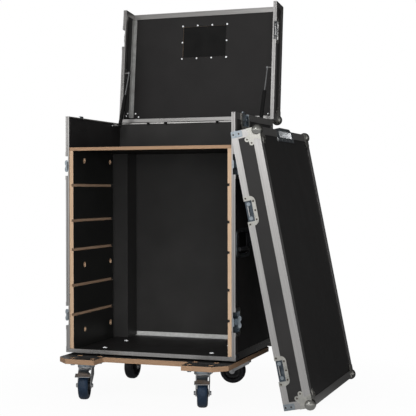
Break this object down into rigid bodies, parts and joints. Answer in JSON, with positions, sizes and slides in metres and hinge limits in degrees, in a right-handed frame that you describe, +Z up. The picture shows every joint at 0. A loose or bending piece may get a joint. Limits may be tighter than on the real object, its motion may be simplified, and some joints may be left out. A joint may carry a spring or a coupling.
{
  "type": "road case",
  "caption": "Plywood road case on a castor board, with a hinged lid on gas struts, grooved liners and a lift-off front cover that leans on its side.",
  "frame": {"origin": "on the floor, in the middle under the whole part's outer box", "axes": "+Z up, +X to the case's right as seen from the front, +Y to the back"},
  "size_m": [0.9758, 0.7644, 1.4987],
  "materials": {
    "rim_aluminium": "brushed",
    "zinc_fitting": "zinc plated",
    "black_plywood": "phenolic film, matt",
    "birch_plywood": "raw edge",
    "strut_rod": "polished",
    "black_steel": "black, satin",
    "tyre": "dark blue, satin"
  },
  "bodies": {
    "case": {"left_wall": "black_plywood", "right_wall": "black_plywood", "rear_wall": "black_plywood", "floor_panel": "black_plywood", "divider_shelf": "birch_plywood", "left_liner": "birch_plywood", "right_liner": "birch_plywood", "left_rear_duct": "black_plywood", "right_rear_duct": "black_plywood", "front_rim": "rim_aluminium", "top_rim": "rim_aluminium", "body_edges": "rim_aluminium", "handle_dish_left_front": "zinc_fitting", "handle_dish_left_rear": "zinc_fitting", "handle_dish_right_front": "zinc_fitting", "handle_dish_right_rear": "zinc_fitting", "castor_board": "birch_plywood"},
    "lid": {"lid_left_wall": "black_plywood", "lid_right_wall": "black_plywood", "lid_rear_wall": "black_plywood", "lid_panel": "black_plywood", "lid_label_dish": "black_steel", "lid_rim": "rim_aluminium", "lid_edges": "rim_aluminium"},
    "cover": {"cover_walls": "black_plywood", "cover_panel": "black_plywood", "cover_rim": "rim_aluminium", "cover_edge_grip": "zinc_fitting", "cover_edges": "rim_aluminium"},
    "left_strut_cylinder": {"strut_body_left": "black_steel"},
    "left_strut_rod": {"strut_rod_left": "strut_rod"},
    "right_strut_cylinder": {"strut_body_right": "black_steel"},
    "right_strut_rod": {"strut_rod_right": "strut_rod"},
    "left_lower_latch_wing": {"latch_wing_left_lower": "zinc_fitting"},
    "left_lower_latch_hook": {"latch_hook_left_lower": "zinc_fitting"},
    "left_upper_latch_wing": {"latch_wing_left_upper": "zinc_fitting"},
    "left_upper_latch_hook": {"latch_hook_left_upper": "zinc_fitting"},
    "left_top_latch_wing": {"latch_wing_left_top": "zinc_fitting"},
    "left_top_latch_hook": {"latch_hook_left_top": "zinc_fitting"},
    "right_lower_latch_wing": {"latch_wing_right_lower": "zinc_fitting"},
    "right_lower_latch_hook": {"latch_hook_right_lower": "zinc_fitting"},
    "right_upper_latch_wing": {"latch_wing_right_upper": "zinc_fitting"},
    "right_upper_latch_hook": {"latch_hook_right_upper": "zinc_fitting"},
    "right_top_latch_wing": {"latch_wing_right_top": "zinc_fitting"},
    "right_top_latch_hook": {"latch_hook_right_top": "zinc_fitting"},
    "left_front_bail": {"handle_bail_left_front": "black_steel"},
    "left_rear_bail": {"handle_bail_left_rear": "black_steel"},
    "right_front_bail": {"handle_bail_right_front": "black_steel"},
    "right_rear_bail": {"handle_bail_right_rear": "black_steel"},
    "front_left_castor": {"castor_fork_front_left": "zinc_fitting"},
    "front_left_wheel": {"castor_wheel_front_left": "tyre"},
    "front_left_pedal": {"brake_pedal_front_left": "zinc_fitting"},
    "front_right_castor": {"castor_fork_front_right": "zinc_fitting"},
    "front_right_wheel": {"castor_wheel_front_right": "tyre"},
    "front_right_pedal": {"brake_pedal_front_right": "zinc_fitting"},
    "rear_left_castor": {"castor_fork_rear_left": "zinc_fitting"},
    "rear_left_wheel": {"castor_wheel_rear_left": "tyre"},
    "rear_right_castor": {"castor_fork_rear_right": "zinc_fitting"},
    "rear_right_wheel": {"castor_wheel_rear_right": "tyre"}
  },
  "joints": [
    {"name": "lid_hinge", "type": "hinge", "parent": "case", "child": "lid", "pos_m": [-0.14286, 0.2361, 1.025], "axis": [1, 0, 0], "range_deg": [0, 96.1]},
    {"name": "cover_pull", "type": "slide", "parent": "case", "child": "cover", "axis": [1, 0, 0], "range_m": [0, 0.4]},
    {"name": "left_strut_pivot", "type": "hinge", "parent": "case", "child": "left_strut_cylinder", "pos_m": [-0.44006, 0.1717, 1.013], "axis": [1, 0, 0], "range_deg": [0, 105.5]},
    {"name": "left_strut_slide", "type": "slide", "parent": "left_strut_cylinder", "child": "left_strut_rod", "axis": [0, -0.3931, -0.9195], "range_m": [0, 0.0925]},
    {"name": "right_strut_pivot", "type": "hinge", "parent": "case", "child": "right_strut_cylinder", "pos_m": [0.15434, 0.1717, 1.013], "axis": [1, 0, 0], "range_deg": [0, 105.5]},
    {"name": "right_strut_slide", "type": "slide", "parent": "right_strut_cylinder", "child": "right_strut_rod", "axis": [0, -0.3931, -0.9195], "range_m": [0, 0.0925]},
    {"name": "left_lower_wing_turn", "type": "hinge", "parent": "case", "child": "left_lower_latch_wing", "pos_m": [-0.47286, -0.2173, 0.288], "axis": [-1, 0, 0], "range_deg": [-90, 90]},
    {"name": "left_lower_hook_slide", "type": "slide", "parent": "case", "child": "left_lower_latch_hook", "axis": [0, 1, 0], "range_m": [-0.0061, 0.0061]},
    {"name": "left_upper_wing_turn", "type": "hinge", "parent": "case", "child": "left_upper_latch_wing", "pos_m": [-0.47286, -0.2173, 0.842], "axis": [-1, 0, 0], "range_deg": [-90, 90]},
    {"name": "left_upper_hook_slide", "type": "slide", "parent": "case", "child": "left_upper_latch_hook", "axis": [0, 1, 0], "range_m": [-0.0061, 0.0061]},
    {"name": "left_top_wing_turn", "type": "hinge", "parent": "case", "child": "left_top_latch_wing", "pos_m": [-0.47286, -0.1233, 1.002], "axis": [-1, 0, 0], "range_deg": [-90, 90]},
    {"name": "left_top_hook_slide", "type": "slide", "parent": "case", "child": "left_top_latch_hook", "axis": [0, 0, -1], "range_m": [-0.0061, 0.0061]},
    {"name": "right_lower_wing_turn", "type": "hinge", "parent": "case", "child": "right_lower_latch_wing", "pos_m": [0.18714, -0.2173, 0.288], "axis": [1, 0, 0], "range_deg": [-90, 90]},
    {"name": "right_lower_hook_slide", "type": "slide", "parent": "case", "child": "right_lower_latch_hook", "axis": [0, 1, 0], "range_m": [-0.0061, 0.0061]},
    {"name": "right_upper_wing_turn", "type": "hinge", "parent": "case", "child": "right_upper_latch_wing", "pos_m": [0.18714, -0.2173, 0.842], "axis": [1, 0, 0], "range_deg": [-90, 90]},
    {"name": "right_upper_hook_slide", "type": "slide", "parent": "case", "child": "right_upper_latch_hook", "axis": [0, 1, 0], "range_m": [-0.0061, 0.0061]},
    {"name": "right_top_wing_turn", "type": "hinge", "parent": "case", "child": "right_top_latch_wing", "pos_m": [0.18714, -0.1233, 1.002], "axis": [1, 0, 0], "range_deg": [-90, 90]},
    {"name": "right_top_hook_slide", "type": "slide", "parent": "case", "child": "right_top_latch_hook", "axis": [0, 0, -1], "range_m": [-0.0061, 0.0061]},
    {"name": "left_front_bail_swing", "type": "hinge", "parent": "case", "child": "left_front_bail", "pos_m": [-0.47056, -0.1493, 0.59293], "axis": [0, 1, 0], "range_deg": [0, 90]},
    {"name": "left_rear_bail_swing", "type": "hinge", "parent": "case", "child": "left_rear_bail", "pos_m": [-0.47056, 0.1407, 0.59293], "axis": [0, 1, 0], "range_deg": [0, 90]},
    {"name": "right_front_bail_swing", "type": "hinge", "parent": "case", "child": "right_front_bail", "pos_m": [0.18484, -0.1493, 0.59293], "axis": [0, -1, 0], "range_deg": [0, 90]},
    {"name": "right_rear_bail_swing", "type": "hinge", "parent": "case", "child": "right_rear_bail", "pos_m": [0.18484, 0.1407, 0.59293], "axis": [0, -1, 0], "range_deg": [0, 90]},
    {"name": "front_left_swivel", "type": "hinge", "parent": "case", "child": "front_left_castor", "pos_m": [-0.36836, -0.2863, 0.127], "axis": [0, 0, 1], "continuous": true},
    {"name": "front_left_axle", "type": "hinge", "parent": "front_left_castor", "child": "front_left_wheel", "pos_m": [-0.35667, -0.32455, 0.05], "axis": [0.9563, 0.2924, 0], "continuous": true},
    {"name": "front_left_pedal_press", "type": "hinge", "parent": "front_left_castor", "child": "front_left_pedal", "pos_m": [-0.36135, -0.30926, 0.1059], "axis": [0.9563, 0.2924, 0], "range_deg": [0, 6]},
    {"name": "front_right_swivel", "type": "hinge", "parent": "case", "child": "front_right_castor", "pos_m": [0.08264, -0.2863, 0.127], "axis": [0, 0, 1], "continuous": true},
    {"name": "front_right_axle", "type": "hinge", "parent": "front_right_castor", "child": "front_right_wheel", "pos_m": [0.095, -0.32435, 0.05], "axis": [0.9511, 0.309, 0], "continuous": true},
    {"name": "front_right_pedal_press", "type": "hinge", "parent": "front_right_castor", "child": "front_right_pedal", "pos_m": [0.09005, -0.30913, 0.1059], "axis": [0.9511, 0.309, 0], "range_deg": [0, 6]},
    {"name": "rear_left_swivel", "type": "hinge", "parent": "case", "child": "rear_left_castor", "pos_m": [-0.36836, 0.1717, 0.127], "axis": [0, 0, 1], "continuous": true},
    {"name": "rear_left_axle", "type": "hinge", "parent": "rear_left_castor", "child": "rear_left_wheel", "pos_m": [-0.36836, 0.1317, 0.05], "axis": [1, 0, 0], "continuous": true},
    {"name": "rear_right_swivel", "type": "hinge", "parent": "case", "child": "rear_right_castor", "pos_m": [0.08264, 0.1717, 0.127], "axis": [0, 0, 1], "continuous": true},
    {"name": "rear_right_axle", "type": "hinge", "parent": "rear_right_castor", "child": "rear_right_wheel", "pos_m": [0.04303, 0.16613, 0.05], "axis": [0.1392, -0.9903, 0], "continuous": true}
  ],
  "couplings": [
    {"joint": "left_strut_pivot", "follows": "lid_hinge", "ratio": 1.0971},
    {"joint": "left_strut_slide", "follows": "lid_hinge", "m_per_rad": 0.055108},
    {"joint": "right_strut_pivot", "follows": "lid_hinge", "ratio": 1.0971},
    {"joint": "right_strut_slide", "follows": "lid_hinge", "m_per_rad": 0.055108},
    {"joint": "left_lower_hook_slide", "follows": "left_lower_wing_turn", "m_per_rad": 0.00382},
    {"joint": "left_upper_hook_slide", "follows": "left_upper_wing_turn", "m_per_rad": 0.00382},
    {"joint": "left_top_hook_slide", "follows": "left_top_wing_turn", "m_per_rad": 0.00382},
    {"joint": "right_lower_hook_slide", "follows": "right_lower_wing_turn", "m_per_rad": 0.00382},
    {"joint": "right_upper_hook_slide", "follows": "right_upper_wing_turn", "m_per_rad": 0.00382},
    {"joint": "right_top_hook_slide", "follows": "right_top_wing_turn", "m_per_rad": 0.00382}
  ]
}
